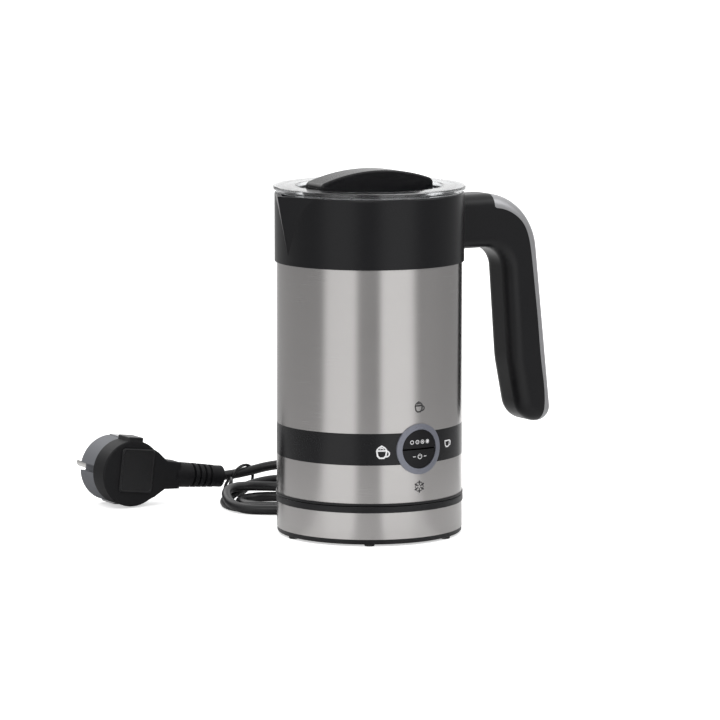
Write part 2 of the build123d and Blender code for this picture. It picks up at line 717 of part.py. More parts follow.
def handle_blank():
    """The whole handle as one rounded piece, before it is parted along its seam."""
    with BuildPart() as blank:
        with BuildSketch(side_plane) as outline:
            with BuildLine():
                Polyline((49, ARM_LOW), (49, ARM_TOP), *[corner[:2] for corner in handle_corners], close=True)
            make_face()
            for x, z, radius in handle_corners:
                near = outline.vertices().sort_by_distance((x, z))[0]
                fillet(near, radius)
        extrude(amount=HANDLE_W / 2, both=True)
        edges = blank.edges().filter_by(lambda e: abs(abs(e.center().Y) - HANDLE_W / 2) < 0.01)
        fillet(edges.filter_by(lambda e: e.center().X > 50), HANDLE_ROUND)
    return blank.part


def seam_region():
    """Everything on the outer side of the seam, as wide as the handle."""
    with BuildPart() as region:
        with BuildSketch(side_plane):
            with BuildLine():
                seam = Spline(*seam_points)
                Polyline(
                    seam_points[-1], (104, 40), (130, 40), (130, 200),
                    (73.0, 200), (73.0, 173.4), seam_points[0],
                )
            make_face()
        extrude(amount=HANDLE_W, both=True)
    return region.part


blank = handle_blank()
region = seam_region()

# Black core of the handle: the arm on the collar and the grip.
with BuildPart() as handle_core:
    add(blank)
    add(region, mode=Mode.SUBTRACT)
    ring_at(100.0, COLLAR_R + 0.02, 0, 100.0, Mode.SUBTRACT)
    with BuildSketch(Plane(origin=(50, 0, 160), x_dir=(0, 1, 0), z_dir=(1, 0, 0))):
        with Locations((6, 0), (-6, 0)):
            Circle(1.3)
    extrude(amount=14, mode=Mode.SUBTRACT)
write("handle_core", handle_core.part)

# Silver-grey inlay along its back.
with BuildPart() as handle_inlay:
    add(blank)
    add(region, mode=Mode.INTERSECT)
write("handle_inlay", handle_inlay.part)

with BuildPart() as handle_screws:
    with BuildSketch(Plane(origin=(44.9, 0, 160), x_dir=(0, 1, 0), z_dir=(1, 0, 0))):
        with Locations((6, 0), (-6, 0)):
            Circle(2.6)
    extrude(amount=1.6)
    with BuildSketch(Plane(origin=(46.5, 0, 160), x_dir=(0, 1, 0), z_dir=(1, 0, 0))):
        with Locations((6, 0), (-6, 0)):
            Circle(1.25)
    extrude(amount=16)
write("handle_screws", handle_screws.part)

# ---------------------------------------------------------------- whisk
HUB_BORE = 1.58
WHISK_RING_R = 16.0
WHISK_MAGNETS = (5.5, 4, 45.0)
with BuildPart() as whisk_hub:
    ring_at(73.2, 9.0, 0, 5.4)
    fillet(whisk_hub.edges(), 0.8)
    ring_at(78.5, 3.8, 0, 6.5)
    fillet(whisk_hub.edges().group_by(Axis.Z)[-1], 1.5)
    for turn in (0, 60, 120):
        with BuildSketch(Plane.XY.offset(75.4)) as spokes:
            with Locations(Location((0, 0, 0), (0, 0, turn))):
                Rectangle(2 * WHISK_RING_R, 1.6)
        extrude(spokes.sketch, amount=1.4)
    ring_at(73.0, HUB_BORE, 0, 9.4, Mode.SUBTRACT)
    posts_at(73.2, *WHISK_MAGNETS, 2.05, 2.6, Mode.SUBTRACT)
write("whisk_hub", whisk_hub.part)

with BuildPart() as whisk_magnets:
    posts_at(73.6, *WHISK_MAGNETS, 2.0, 2.2)
write("whisk_magnets", whisk_magnets.part)

with BuildPart() as whisk_coil:
    with BuildSketch(Plane.XZ):
        with Locations((WHISK_RING_R + 1.9, 76.1)):
            Circle(1.9)
    revolve(axis=Axis.Z)
write("whisk_coil", whisk_coil.part)

# ---------------------------------------------------------------- lid
LID_UNDER = 186.4
SKIRT = (47.7, 45.9)
GRIP_W = 17.2
LID_SCREWS = [(24.0, 0), (-24.0, 0)]

# Clear lid: flat rim, a step that rests on the collar, the skirt and the round well.
with BuildPart() as lid_disc:
    ring_at(LID_UNDER, LID_R, WELL_R, LID_TOP - LID_UNDER)
    fillet(lid_disc.edges().group_by(Axis.Z)[-1], 0.5)
    ring_at(COLLAR_TOP + 0.2, 50.3, SKIRT[1], LID_UNDER - COLLAR_TOP - 0.2)
    ring_at(176.0, SKIRT[0], SKIRT[1], 9.2)
    ring_at(183.0, WELL_R + 1.5, WELL_R, LID_UNDER - 183.0)
    ring_at(183.0, WELL_R + 0.5, 0, WELL_FLOOR - 183.0)
    with BuildSketch(Plane.XY.offset(176)):
        with Locations(*LID_SCREWS):
            Circle(1.6)
    extrude(amount=12, mode=Mode.SUBTRACT)
    ring_at(178.4, SKIRT[0], SKIRT[0] - 0.9, 2.4, Mode.SUBTRACT)
write("lid_disc", lid_disc.part)

# Black plate under the well, with a clip for the spare whisk.
with BuildPart() as lid_insert:
    ring_at(181.5, WELL_R - 0.7, 0, 1.45)
    ring_at(174.0, 4.5, 0, 7.5)
    ring_at(174.0, 2.2, 0, 6.0, Mode.SUBTRACT)
    with BuildSketch(Plane.XY.offset(174)):
        Rectangle(1.4, 12)
    extrude(amount=6, mode=Mode.SUBTRACT)
    with BuildSketch(Plane.XY.offset(178)):
        with Locations(*LID_SCREWS):
            Circle(4.2)
    extrude(amount=3.5)
    with BuildSketch(Plane.XY.offset(177)):
        with Locations(*LID_SCREWS):
            Circle(1.6)
    extrude(amount=12, mode=Mode.SUBTRACT)
    with BuildSketch(Plane.XY.offset(177.9)):
        with Locations(*LID_SCREWS):
            Circle(2.8)
    extrude(amount=2.0, mode=Mode.SUBTRACT)
write("lid_insert", lid_insert.part)

# Arched grip across the well.
with BuildPart() as lid_grip:
    with BuildSketch(side_plane):
        with BuildLine():
            ThreePointArc((-GRIP_HALF, 190.4), (0, GRIP_TOP), (GRIP_HALF, 190.4))
            Polyline(
                (GRIP_HALF, 190.4), (GRIP_HALF, WELL_FLOOR + 0.05),
                (-GRIP_HALF, WELL_FLOOR + 0.05), (-GRIP_HALF, 190.4),
            )
        make_face()
    extrude(amount=GRIP_W / 2, both=True)
    fillet(lid_grip.edges().filter_by(Axis.Y).group_by(Axis.Z)[-1], 3.6)
    sides = lid_grip.edges().filter_by(lambda e: abs(abs(e.center().Y) - GRIP_W / 2) < 0.01)
    fillet(sides.filter_by(lambda e: e.center().Z > 185), 1.2)
    with BuildSketch(Plane.XY.offset(180)):
        with Locations(*LID_SCREWS):
            Circle(1.25)
    extrude(amount=11, mode=Mode.SUBTRACT)
write("lid_grip", lid_grip.part)

with BuildPart() as lid_screws:
    with BuildSketch(Plane.XY.offset(178.2)):
        with Locations(*LID_SCREWS):
            Circle(2.6)
    extrude(amount=1.6)
    with BuildSketch(Plane.XY.offset(179.8)):
        with Locations(*LID_SCREWS):
            Circle(1.2)
    extrude(amount=10)
write("lid_screws", lid_screws.part)

with BuildPart() as lid_gasket:
    ring_at(178.5, 48.0, SKIRT[0] - 0.85, 2.2)
write("lid_gasket", lid_gasket.part)
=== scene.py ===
import math

import bmesh
import bpy
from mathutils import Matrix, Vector


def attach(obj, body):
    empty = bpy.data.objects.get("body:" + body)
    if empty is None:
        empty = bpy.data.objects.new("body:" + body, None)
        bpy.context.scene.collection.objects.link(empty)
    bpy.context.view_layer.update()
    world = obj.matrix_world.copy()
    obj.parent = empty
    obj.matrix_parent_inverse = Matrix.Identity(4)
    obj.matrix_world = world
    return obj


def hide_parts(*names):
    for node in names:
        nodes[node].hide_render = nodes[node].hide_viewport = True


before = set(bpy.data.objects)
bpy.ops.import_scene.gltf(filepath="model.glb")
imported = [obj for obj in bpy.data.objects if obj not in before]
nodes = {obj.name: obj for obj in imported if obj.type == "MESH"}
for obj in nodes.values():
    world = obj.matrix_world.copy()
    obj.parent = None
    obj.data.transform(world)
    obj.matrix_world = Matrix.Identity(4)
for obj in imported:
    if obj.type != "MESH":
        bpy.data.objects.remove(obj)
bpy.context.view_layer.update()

# ---- Camera
# A long lens low in front of the jug, level with its middle and a little to the left,
# so that the spout points left and the handle right.
view_turn = math.radians(-32)  # turns the frame's sides to the camera's
camera_data = bpy.data.cameras.new("camera")
camera_data.sensor_width = 36
camera_data.lens = 234.25
camera_data.clip_start = 0.1
camera_data.clip_end = 40
camera = bpy.data.objects.new("camera", camera_data)
camera.location = (-1.3291, -2.1175, 0.4318)
camera.rotation_euler = (math.radians(82.29), 0, view_turn)
bpy.context.scene.collection.objects.link(camera)
bpy.context.scene.camera = camera
bpy.context.scene.view_settings.view_transform = "Standard"

# ---- Studio
# A white tent lit from all round, with paler and darker cards standing in it that show
# as soft upright bands in the brushed steel.
class Value:
    """A number inside a shader, worked on like any other number."""

    def __init__(self, shader, socket):
        self.shader = shader
        self.socket = socket

    def maths(self, operation, *others):
        made = self.shader.add("ShaderNodeMath", {"operation": operation}, dict(enumerate((self, *others))))
        return Value(self.shader, made.outputs[0])

    def turned(self, operation, other):
        """The same with the other number first."""
        made = self.shader.add("ShaderNodeMath", {"operation": operation}, {0: other, 1: self})
        return Value(self.shader, made.outputs[0])

    def __add__(self, other):
        return self.maths("ADD", other)

    def __sub__(self, other):
        return self.maths("SUBTRACT", other)

    def __mul__(self, other):
        return self.maths("MULTIPLY", other)

    def __radd__(self, other):
        return self.turned("ADD", other)

    def __rsub__(self, other):
        return self.turned("SUBTRACT", other)

    def rise(self, start, stop):
        """0 below start and 1 above stop, with an easy slope between."""
        made = self.shader.add(
            "ShaderNodeMapRange",
            {"interpolation_type": "SMOOTHSTEP"},
            {"Value": self, "From Min": start, "From Max": stop},
        )
        return Value(self.shader, made.outputs[0])


class Shader:
    """The nodes of one material or of the world."""

    def __init__(self, owner):
        owner.use_nodes = True
        self.owner = owner
        self.tree = owner.node_tree
        self.tree.nodes.clear()

    def add(self, kind, settings, values):
        made = self.tree.nodes.new(kind)
        for name, setting in settings.items():
            setattr(made, name, setting)
        for name, value in values.items():
            if isinstance(value, Value):
                self.tree.links.new(value.socket, made.inputs[name])
            elif isinstance(value, bpy.types.NodeSocket):
                self.tree.links.new(value, made.inputs[name])
            else:
                made.inputs[name].default_value = value
        return made

    def mix(self, factor, first, second):
        """Blends two colours. The mix node takes them at 6 and 7 and gives its answer at 2."""
        made = self.add("ShaderNodeMix", {"data_type": "RGBA"}, {0: factor, 6: first, 7: second})
        return made.outputs[2]

    def split(self, vector):
        made = self.add("ShaderNodeSeparateXYZ", {}, {0: vector})
        return [Value(self, socket) for socket in made.outputs]


def studio_level(shader, direction):
    """How bright the tent is, from the direction or place looked at. Each rise is the edge
    of a card, in degrees round to the right from the side the camera is on."""
    x, y = shader.split(direction)[:2]
    across = x * math.cos(view_turn) + y * math.sin(view_turn)
    toward = x * math.sin(view_turn) - y * math.cos(view_turn)
    angle = across.maths("ARCTAN2", toward) * (180 / math.pi)
    level = 1.1 - angle.rise(-170, -152) * 0.70
    level = level + angle.rise(-62, -50) * 0.70
    level = level - angle.rise(-20, -10) * 0.76
    level = level + angle.rise(9, 18) * 0.92
    level = level - angle.rise(48, 64) * 0.88
    level = level + angle.rise(134, 152) * 0.72
    return level


world = bpy.data.worlds.new("tent")
bpy.context.scene.world = world
tent = Shader(world)
tent_way = tent.add("ShaderNodeTexCoord", {}, {}).outputs["Generated"]
tent_side = studio_level(tent, tent_way)
tent_height = tent.split(tent_way)[2]
tent_light = tent_side + tent_height.rise(0.3, 0.8) * (1.15 - tent_side)
tent_seen = Value(tent, tent.add("ShaderNodeLightPath", {}, {}).outputs["Is Camera Ray"])
tent_shown = tent_light + tent_seen * (1.3 - tent_light)
tent_back = tent.add("ShaderNodeBackground", {}, {"Color": (1, 1, 1, 1), "Strength": tent_shown})
tent.add("ShaderNodeOutputWorld", {}, {"Surface": tent_back.outputs[0]})

for name, place, size, power in (
    ("key_light", (-1.1, -1.3, 1.5), 0.9, 9.0),
    ("fill_light", (1.3, -0.9, 1.2), 1.0, 5.0),
    ("back_light", (-0.2, 1.6, 1.3), 1.2, 9.0),
):
    lamp_data = bpy.data.lights.new(name, "AREA")
    lamp_data.size = size
    lamp_data.energy = power
    lamp = bpy.data.objects.new(name, lamp_data)
    lamp.location = place
    lamp.rotation_euler = (Vector((0, 0, 0.1)) - Vector(place)).to_track_quat("-Z", "Y").to_euler()
    bpy.context.scene.collection.objects.link(lamp)

# The camera sees the floor white. Other rays see a painted grey floor: it has painted light and dark bands
# copied from the tent and painted extra light close round the jug, and these show in the steel as painted
# reflections.
floor_mesh = bpy.data.meshes.new("floor")
floor_mesh.from_pydata([(-9, -9, 0), (9, -9, 0), (9, 9, 0), (-9, 9, 0)], [], [(0, 1, 2, 3)])
floor = bpy.data.objects.new("floor", floor_mesh)
bpy.context.scene.collection.objects.link(floor)
floor_paint = Shader(bpy.data.materials.new("floor_white"))
floor_place = floor_paint.add("ShaderNodeNewGeometry", {}, {}).outputs["Position"]
floor_x, floor_y = floor_paint.split(floor_place)[:2]
floor_far = (floor_x * floor_x + floor_y * floor_y).maths("POWER", 0.5).rise(0.06, 0.4)
# Painted light: the floor's grey follows the tent's bright and dark bands and is painted lighter near the
# jug.
floor_painted_light = studio_level(floor_paint, floor_place) * (0.62 + floor_far * 0.22) + (1 - floor_far) * 0.44
floor_seen = Value(floor_paint, floor_paint.add("ShaderNodeLightPath", {}, {}).outputs["Is Camera Ray"])
floor_painted_grey = floor_paint.mix(floor_painted_light, (0, 0, 0, 1), (1, 1, 1, 1))
floor_shown = floor_paint.add(
    "ShaderNodeBsdfPrincipled",
    {},
    {
        "Base Color": floor_paint.mix(floor_seen, floor_painted_grey, (0.92, 0.92, 0.92, 1)),
        "Roughness": 0.9,
        "Emission Color": floor_paint.mix(floor_seen, (0, 0, 0, 1), (1, 1, 1, 1)),
        "Emission Strength": 0.55,
    },
)
floor_paint.add("ShaderNodeOutputMaterial", {}, {"Surface": floor_shown.outputs[0]})
floor_mesh.materials.append(floor_paint.owner)

# ---- Cord
# Round black flex with a soft satin sheath. It leaves the gland at the back of the base,
# is folded into a flat hank of three turns behind the jug and ends in the plug.
def finish(
    name,
    colour,
    roughness,
    metallic=0.0,
    grain=900.0,
    depth=0.00002,
    shade=0.12,
    sheen=0.5,
    stretch=(1, 1, 1),
    front=None,
    more=None,
):
    """A surface with fine grain in it: the grain shades the colour, the gloss and the relief.
    A front is another colour past a plane, given as its direction, its distance and the colour."""
    made = Shader(bpy.data.materials.new(name))
    place = made.add("ShaderNodeTexCoord", {}, {}).outputs["Object"]
    drawn = made.add("ShaderNodeVectorMath", {"operation": "MULTIPLY"}, {0: place, 1: stretch}).outputs[0]
    fine = made.add("ShaderNodeTexNoise", {}, {"Vector": drawn, "Scale": grain, "Detail": 3.0})
    broad = made.add("ShaderNodeTexNoise", {}, {"Vector": place, "Scale": 38.0, "Detail": 2.0})
    grainy = Value(made, fine.outputs[0])
    handled = Value(made, broad.outputs[0])
    darker = [part * (1 - shade) for part in colour]
    lighter = [part * (1 + shade) for part in colour]
    tint = made.mix(grainy.rise(0.3, 0.7), (*darker, 1), (*lighter, 1))
    if front:
        way, distance, front_colour = front
        along = made.add("ShaderNodeVectorMath", {"operation": "DOT_PRODUCT"}, {0: place, 1: way})
        past = Value(made, along.outputs["Value"]).rise(distance - 0.00008, distance + 0.00008)
        tint = made.mix(past, tint, (*front_colour, 1))
    dullness = roughness + (grainy - 0.5) * (roughness * 0.3) + (handled - 0.5) * (roughness * 0.25)
    relief = made.add("ShaderNodeBump", {}, {"Strength": 0.3, "Distance": depth, "Height": grainy})
    surface = made.add(
        "ShaderNodeBsdfPrincipled",
        {},
        {
            "Base Color": tint,
            "Roughness": dullness,
            "Metallic": metallic,
            "Specular IOR Level": sheen,
            "Normal": relief.outputs[0],
            **(more or {}),
        },
    )
    made.add("ShaderNodeOutputMaterial", {}, {"Surface": surface.outputs[0]})
    return made.owner


def dress(material, *names):
    """Puts a finish on pieces carried over from the CAD."""
    for name in names:
        piece = nodes[name]
        if not piece.material_slots:
            piece.data.materials.append(None)
        for holder in piece.material_slots:
            holder.link = "OBJECT"
            holder.material = material


def stand(piece, material, body):
    """A new piece goes into the scene, takes its finish and rides on its body."""
    piece.data.materials.append(material)
    bpy.context.scene.collection.objects.link(piece)
    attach(piece, body)
    return piece


def laid(x, y, z):
    """A place behind the jug, measured across and away, as a place in the frame."""
    cosine, sine = math.cos(view_turn), math.sin(view_turn)
    return (x * cosine - y * sine, x * sine + y * cosine, z)


def fold(x, y, radius, start, stop, low, high, steps=8):
    """Points round one end of the hank, a little outside the line the cord follows."""
    points = []
    for step in range(steps + 1):
        part = step / steps
        angle = math.radians(start + (stop - start) * part)
        reach = radius
        if 0 < step < steps:
            reach = radius / math.cos(math.radians(abs(stop - start) / steps / 2))
        lift = low + (high - low) * part * part * (3 - 2 * part)
        points.append((x + reach * math.cos(angle), y + reach * math.sin(angle), lift))
    return points


def flex(name, places, radius, facets, smoothness):
    """A round run of cord or wire along places behind the jug, with its ends closed."""
    curve = bpy.data.curves.new(name, "CURVE")
    curve.dimensions = "3D"
    curve.bevel_depth = radius
    curve.bevel_resolution = facets
    curve.resolution_u = smoothness
    curve.use_fill_caps = True
    run = curve.splines.new("NURBS")
    run.points.add(len(places) - 1)
    for point, place in zip(run.points, places):
        point.co = (*laid(*place), 1)
    run.order_u = 3
    run.use_endpoint_u = True
    return bpy.data.objects.new(name, curve)


cord_line = [(0.0310, 0.0536, 0.0100), (0.0350, 0.0606, 0.0100), (0.0455, 0.0800, 0.0080)]
cord_line += [(0.0420, 0.1020, 0.0045), (0.0240, 0.1160, 0.0028), (-0.0040, 0.1195, 0.0040)]
cord_line += [(-0.0300, 0.1155, 0.0086), (-0.0500, 0.1125, 0.0106), (-0.0620, 0.1075, 0.0096)]
cord_line += [(-0.0725, 0.0995, 0.0070), (-0.0795, 0.0890, 0.0032), (-0.0810, 0.0780, 0.0027)]
cord_line += [(-0.0770, 0.0665, 0.0027), (-0.0690, 0.0595, 0.0027), (-0.0580, 0.0577, 0.0027)]
cord_line += [(-0.0400, 0.0579, 0.0027), (-0.0260, 0.0586, 0.0027)]
cord_line += fold(-0.0150, 0.0806, 0.0222, -90, 90, 0.0027, 0.0027)
cord_line += [(-0.0280, 0.1013, 0.0027), (-0.0380, 0.0986, 0.0027), (-0.0480, 0.0980, 0.0027)]
cord_line += fold(-0.0545, 0.0809, 0.0173, 90, 270, 0.0027, 0.0027)
cord_line += [(-0.0400, 0.0636, 0.0027), (-0.0280, 0.0640, 0.0027)]
cord_line += fold(-0.0170, 0.0806, 0.0169, -90, 90, 0.0027, 0.0027)
cord_line += [(-0.0250, 0.0972, 0.0060), (-0.0360, 0.0976, 0.0081), (-0.0460, 0.0984, 0.0082)]
cord_line += [(-0.0570, 0.0990, 0.0084), (-0.0680, 0.0964, 0.0090), (-0.0760, 0.0885, 0.0096)]
cord_line += [(-0.0803, 0.0775, 0.0086), (-0.0775, 0.0635, 0.0046), (-0.0695, 0.0550, 0.0027)]
cord_line += [(-0.0580, 0.0522, 0.0027), (-0.0440, 0.0523, 0.0027), (-0.0240, 0.0528, 0.0027)]
cord_line += fold(-0.0020, 0.0730, 0.0193, -90, 60, 0.0027, 0.0084, 6)
cord_line += [(-0.0020, 0.0926, 0.0086), (-0.0110, 0.0984, 0.0110), (-0.0200, 0.1060, 0.0145)]
cord_line += [(-0.0380, 0.1180, 0.0186), (-0.0550, 0.1215, 0.0170), (-0.0700, 0.1170, 0.0136)]
cord_line += [(-0.0820, 0.1099, 0.0125), (-0.0900, 0.1053, 0.0130)]
cord_sheath = finish("cord_sheath", (0.010, 0.010, 0.011), 0.36, grain=1400.0, sheen=0.35)
cord = stand(flex("cord", cord_line, 0.0027, 5, 10), cord_sheath, "base")
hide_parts("cord_run_base", "cord_run_plug", "cord_hank")

# ---- Plug
# Two-pin plug: a hard grey front with the pins and a stamped clip at each edge, and a
# matt black rubbery back with a raised panel on it and a ribbed relief for the lead.
# The plug lies on its side: the way its lead leaves it, its upright, and the way its pins
# point, all from the middle of its barrel.
tilt = math.radians(6.7)
swing = math.radians(-2)
plug_lead = Vector((math.cos(tilt) * math.cos(swing), math.cos(tilt) * math.sin(swing), -math.sin(tilt)))
plug_up = Vector((math.sin(tilt) * math.cos(swing), math.sin(tilt) * math.sin(swing), math.cos(tilt)))
plug_pin_way = plug_up.cross(plug_lead)
plug_seat = Vector(laid(-0.1376, 0.0853, 0.0194))
plug_two_tone = finish(
    "plug_two_tone",
    (0.010, 0.010, 0.011),
    0.55,
    grain=1600.0,
    depth=0.00003,
    sheen=0.16,
    front=(plug_pin_way, plug_seat.dot(plug_pin_way), (0.15, 0.155, 0.168)),
)
plug_black = finish("plug_black", (0.011, 0.011, 0.012), 0.36, grain=1600.0, depth=0.00003, sheen=0.3)
pin_metal = finish("pin_nickel", (0.86, 0.85, 0.83), 0.16, 1.0, shade=0.04)
clip_metal = finish("clip_nickel", (0.55, 0.55, 0.56), 0.30, 1.0, shade=0.05)
dress(plug_two_tone, "plug_body")
dress(plug_black, "cord_gland", "cord_clamp")
dress(pin_metal, "plug_pins")
dress(clip_metal, "plug_clips")


def slab(name, corner_places, levels):
    """A moulded pad: the same outline at each level, drawn in by that level's inset."""
    places, faces = [], []
    count = len(corner_places)
    middle_x = sum(x for x, z in corner_places) / count
    middle_z = sum(z for x, z in corner_places) / count
    for depth, inset in levels:
        for x, z in corner_places:
            away = math.hypot(x - middle_x, z - middle_z)
            keep = (away - inset) / away
            across, up = middle_x + (x - middle_x) * keep, middle_z + (z - middle_z) * keep
            places.append(plug_seat + plug_lead * across + plug_up * up + plug_pin_way * depth)
    for level in range(len(levels) - 1):
        for step in range(count):
            after = (step + 1) % count
            low, high = level * count, (level + 1) * count
            faces.append((low + step, low + after, high + after, high + step))
    faces.append(tuple(range(count))[::-1])
    faces.append(tuple(range(len(places) - count, len(places))))
    mesh = bpy.data.meshes.new(name)
    mesh.from_pydata(places, [], faces)
    mesh.update()
    return bpy.data.objects.new(name, mesh)


corner_round = 0.0020
panel_corners = []
for x, z, first in (
    (0.0100, 0.0120, 0),
    (-0.0064, 0.0120, 90),
    (-0.0064, -0.0084, 180),
    (0.0100, -0.0084, 270),
):
    for step in range(5):
        turn = math.radians(first + 22.5 * step)
        panel_corners.append((x + corner_round * math.cos(turn), z + corner_round * math.sin(turn)))
panel_levels = [(-0.0120, 0.0), (-0.0138, 0.0), (-0.0143, 0.0005)]
panel_levels += [(-0.0143, 0.0010), (-0.0140, 0.0013), (-0.0140, 0.0016)]
panel = stand(slab("plug_panel", panel_corners, panel_levels), plug_black, "base")


def pad(name, low, high, edge):
    """A small moulded or stamped lug on the plug, with its edges broken."""
    shape = bmesh.new()
    bmesh.ops.create_cube(shape, size=1.0)
    for corner in shape.verts:
        across, along, up = [low[i] + (high[i] - low[i]) * (corner.co[i] + 0.5) for i in range(3)]
        corner.co = plug_seat + plug_lead * across + plug_pin_way * along + plug_up * up
    bmesh.ops.bevel(shape, geom=shape.edges[:], offset=edge, segments=3, profile=0.5, affect="EDGES")
    mesh = bpy.data.meshes.new(name)
    shape.to_mesh(mesh)
    shape.free()
    return bpy.data.objects.new(name, mesh)


top_lug = pad("plug_top_lug", (-0.0046, -0.0126, 0.0140), (0.0046, 0.0010, 0.0204), 0.0007)
low_lug = pad("plug_low_lug", (-0.0042, -0.0010, -0.0189), (0.0042, 0.0140, -0.0150), 0.0005)
stand(top_lug, plug_black, "base")
stand(low_lug, clip_metal, "base")

# ---- Tie
# A thin black twist tie, wound slantwise round the lead and the strands under it, with
# its two ends twisted together below.
tie_black = finish("tie_black", (0.010, 0.010, 0.011), 0.3, grain=1200.0, sheen=0.4)
tie_loop = [(-0.0790, 0.1115, 0.0060), (-0.0770, 0.1095, 0.0120), (-0.0745, 0.1110, 0.0165)]
tie_loop += [(-0.0700, 0.1165, 0.0182), (-0.0665, 0.1210, 0.0160), (-0.0655, 0.1210, 0.0110)]
tie_loop += [(-0.0670, 0.1150, 0.0050), (-0.0720, 0.1060, 0.0022), (-0.0760, 0.0985, 0.0030)]
tie_loop += [(-0.0778, 0.0950, 0.0080), (-0.0770, 0.0960, 0.0120), (-0.0775, 0.1030, 0.0128)]
tie_loop += [(-0.0800, 0.1050, 0.0100), (-0.0815, 0.1040, 0.0060), (-0.0810, 0.1010, 0.0020)]
tie = stand(flex("tie", tie_loop, 0.00085, 3, 12), tie_black, "base")
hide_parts("cord_tie")

laid(0.0350, 0.0606, 0.0100)

# ---- Base
# The power base: a moulded black tray and top ring round a brushed steel skirt, on six
# rubber feet, with the cordless connector standing in the middle.
def brushed(name, colour, roughness, spread):
    """Steel sheet brushed round the body, which spreads its highlights up and down."""
    return finish(
        name,
        colour,
        roughness,
        1.0,
        grain=30.0,
        depth=0.0000012,
        shade=0.022,
        stretch=(1, 1, 230),
        more={"Anisotropic": spread, "Anisotropic Rotation": 0.25},
    )


steel = brushed("brushed_steel", (0.455, 0.442, 0.436), 0.25, 0.8)
black = finish("satin_black", (0.007, 0.007, 0.008), 0.34, grain=1500.0, sheen=0.24)
rubber = finish("foot_rubber", (0.020, 0.020, 0.020), 0.8, grain=700.0)
zinc = finish("screw_zinc", (0.60, 0.60, 0.58), 0.34, 1.0, shade=0.08)
brass = finish("contact_brass", (0.70, 0.52, 0.24), 0.25, 1.0, shade=0.06)
gloss = finish("gloss_black", (0.008, 0.008, 0.009), 0.12, grain=700.0, shade=0.04, sheen=0.4)
dress(black, "base_bottom", "base_top")
dress(rubber, "base_feet")
dress(steel, "base_sleeve")
dress(zinc, "base_screws", "clamp_screws")
dress(gloss, "base_connector")
dress(brass, "base_contacts")

# ---- Underside of the jug
# The black moulded bottom of the jug, its screws, and the socket that drops over the
# connector, held up by a screwed ring.
dress(black, "jug_bottom", "socket_retainer")
dress(gloss, "jug_socket")
dress(brass, "socket_contacts")
dress(zinc, "jug_screws")

# ---- Steel sleeves
# Two rolled stainless sleeves with the brushing running round them. They clip over the
# rims of the moulded parts above and below the control band.
dress(steel, "lower_sleeve", "upper_sleeve")

# ---- Control band
# A satin black ring between the sleeves, with the lacquered bezel screwed through it and
# two half-round push buttons inside.
band_black = finish("band_black", (0.006, 0.006, 0.007), 0.26, grain=1500.0, sheen=0.28)
bezel_grey = finish("bezel_lacquer", (0.165, 0.172, 0.205), 0.30, 0.35, grain=1500.0, shade=0.05)
button_black = finish("button_black", (0.006, 0.006, 0.007), 0.36, grain=1500.0, sheen=0.2)
dress(band_black, "control_band")
dress(bezel_grey, "button_bezel")
dress(button_black, "function_button", "power_button")

# ---- Printed marks
# Pad-printed marks on the sleeves, the band and the buttons: cups, a snowflake and the
# power sign, each a thin film of ink that follows the curve it is printed on.
def line(points, width, closed=False):
    """A stroke of ink along points, as four-cornered patches with their ends overlapping."""
    longest, overlap = 0.8, 0.6
    patches, ends = [], []
    for (x0, z0), (x1, z1) in zip(points, points[1:] + points[:1] if closed else points[1:]):
        cuts = math.ceil(math.hypot(x1 - x0, z1 - z0) / longest)
        for cut in range(cuts):
            part, after = cut / cuts, (cut + 1) / cuts
            start = (x0 + (x1 - x0) * part, z0 + (z1 - z0) * part)
            ends.append((start, (x0 + (x1 - x0) * after, z0 + (z1 - z0) * after)))
    for (x0, z0), (x1, z1) in ends:
        run = math.hypot(x1 - x0, z1 - z0)
        ux, uz = (x1 - x0) / run * width / 2, (z1 - z0) / run * width / 2
        patches.append(
            [
                (x0 - ux * overlap - uz, z0 - uz * overlap + ux),
                (x0 - ux * overlap + uz, z0 - uz * overlap - ux),
                (x1 + ux * overlap + uz, z1 + uz * overlap - ux),
                (x1 + ux * overlap - uz, z1 + uz * overlap + ux),
            ]
        )
    return patches


def dot(x, z, radius):
    """A round spot of ink."""
    corners = [math.radians(30 * step) for step in range(12)]
    return [[(x + radius * math.cos(turn), z + radius * math.sin(turn)) for turn in corners]]


def arc(x, z, radius, start, stop, steps=8):
    """Points round part of a circle, from one angle to another."""
    turns = [math.radians(start + (stop - start) * step / steps) for step in range(steps + 1)]
    return [(x + radius * math.cos(turn), z + radius * math.sin(turn)) for turn in turns]


def printed(name, patches, radius, angle, height, size, ink, body):
    """Ink on the round face: millimetres along and up become places on the cylinder. The
    patches stand at five heights, so that no two that overlap lie in one surface."""
    film, stagger, millimetre = 0.00003, 0.000004, 0.001
    corners, faces = [], []
    for number, patch in enumerate(patches):
        first = len(corners)
        lift = radius + film + stagger * (number % 5)
        for along, up in patch:
            turn = math.radians(angle) + along * size * millimetre / radius
            rise = height + up * size * millimetre
            corners.append((lift * math.cos(turn), lift * math.sin(turn), rise))
        faces.append(list(range(first, len(corners))))
    mesh = bpy.data.meshes.new(name)
    mesh.from_pydata(corners, [], faces)
    mesh.update()
    stand(bpy.data.objects.new(name, mesh), ink, body)


